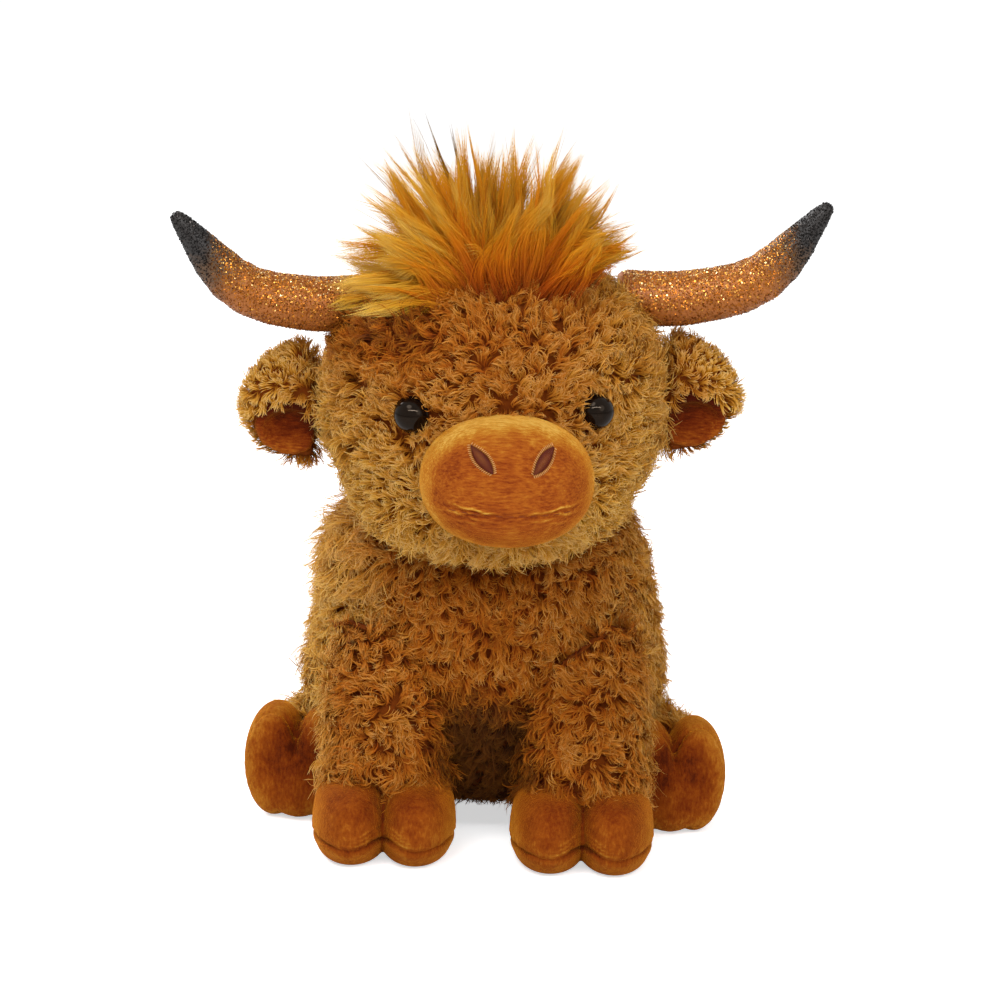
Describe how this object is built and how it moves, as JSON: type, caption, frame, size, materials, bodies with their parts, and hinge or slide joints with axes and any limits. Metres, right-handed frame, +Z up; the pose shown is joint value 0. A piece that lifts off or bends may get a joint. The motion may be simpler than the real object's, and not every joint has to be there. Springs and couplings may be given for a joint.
{
  "type": "plush cow",
  "caption": "Seated stuffed Highland cow with curly fur, long hair tuft, cloth horns, floppy ears, plush muzzle and two-toed hooves.",
  "frame": {"origin": "middle of the flat under the rump, where the cow sits", "axes": "+Z up, the cow faces -Y, its own left is +X"},
  "size_m": [0.2187, 0.1846, 0.2425],
  "materials": {
    "curly_fur": "curly knitted pile fur, 8 to 10 mm, tan",
    "short_plush": "short velvety plush, rust",
    "long_pile": "long straight pile, gold with orange-brown roots",
    "glitter_cloth": "copper glitter cloth fading to charcoal at the tips",
    "embroidery": "satin stitch thread, dark maroon",
    "eye": "polished dark plastic dome",
    "washer": "moulded nylon",
    "filling": "loose polyester fibre",
    "pouch_cloth": "plain woven cloth round plastic pellets"
  },
  "bodies": {
    "torso": {"body_cover": "curly_fur", "body_filling": "filling", "pellet_pouch": "pouch_cloth", "head_cover": "curly_fur", "head_filling": "filling", "muzzle": "short_plush", "mouth_stitch": "embroidery", "hair_tuft": "long_pile", "nostril_left": "embroidery", "nostril_right": "embroidery", "eye_left": "eye", "eye_right": "eye", "eye_washer_left": "washer", "eye_washer_right": "washer", "horn_left": "glitter_cloth", "horn_right": "glitter_cloth"},
    "ear_left": {"ear_outer_left": "curly_fur", "ear_lining_left": "short_plush"},
    "front_leg_left": {"front_leg_left": "curly_fur", "front_hoof_left": "short_plush", "front_sole_left": "short_plush"},
    "hind_leg_left": {"hind_leg_left": "curly_fur", "hind_hoof_left": "short_plush", "hind_sole_left": "short_plush"},
    "ear_right": {"ear_outer_right": "curly_fur", "ear_lining_right": "short_plush"},
    "front_leg_right": {"front_leg_right": "curly_fur", "front_hoof_right": "short_plush", "front_sole_right": "short_plush"},
    "hind_leg_right": {"hind_leg_right": "curly_fur", "hind_hoof_right": "short_plush", "hind_sole_right": "short_plush"},
    "tail": {"tail": "curly_fur", "tail_tuft": "long_pile"}
  },
  "joints": [
    {"name": "ear_left_flop", "type": "hinge", "parent": "torso", "child": "ear_left", "pos_m": [0.05235, -0.03896, 0.1544], "axis": [0.0958, -0.9954, 0.0025], "range_deg": [-20, 20], "stiffness_Nm_per_rad": 0.02},
    {"name": "ear_right_flop", "type": "hinge", "parent": "torso", "child": "ear_right", "pos_m": [-0.05511, -0.04932, 0.15158], "axis": [-0.0958, 0.9954, -0.0025], "range_deg": [-20, 20], "stiffness_Nm_per_rad": 0.02},
    {"name": "front_leg_left_swing", "type": "hinge", "parent": "torso", "child": "front_leg_left", "pos_m": [0.031, -0.05215, 0.07325], "axis": [-1, 0, 0], "range_deg": [0, 25], "stiffness_Nm_per_rad": 0.25},
    {"name": "front_leg_right_swing", "type": "hinge", "parent": "torso", "child": "front_leg_right", "pos_m": [-0.031, -0.05215, 0.07325], "axis": [-1, 0, 0], "range_deg": [0, 25], "stiffness_Nm_per_rad": 0.25},
    {"name": "hind_leg_left_splay", "type": "hinge", "parent": "torso", "child": "hind_leg_left", "pos_m": [0.045, 0.00985, 0.022], "axis": [0, 0, 1], "range_deg": [0, 20], "stiffness_Nm_per_rad": 0.2},
    {"name": "hind_leg_right_splay", "type": "hinge", "parent": "torso", "child": "hind_leg_right", "pos_m": [-0.045, 0.00985, 0.022], "axis": [0, 0, -1], "range_deg": [0, 20], "stiffness_Nm_per_rad": 0.2},
    {"name": "tail_lift", "type": "hinge", "parent": "torso", "child": "tail", "pos_m": [0, 0.03083, 0.05], "axis": [1, 0, 0], "range_deg": [0, 60], "stiffness_Nm_per_rad": 0.02}
  ]
}
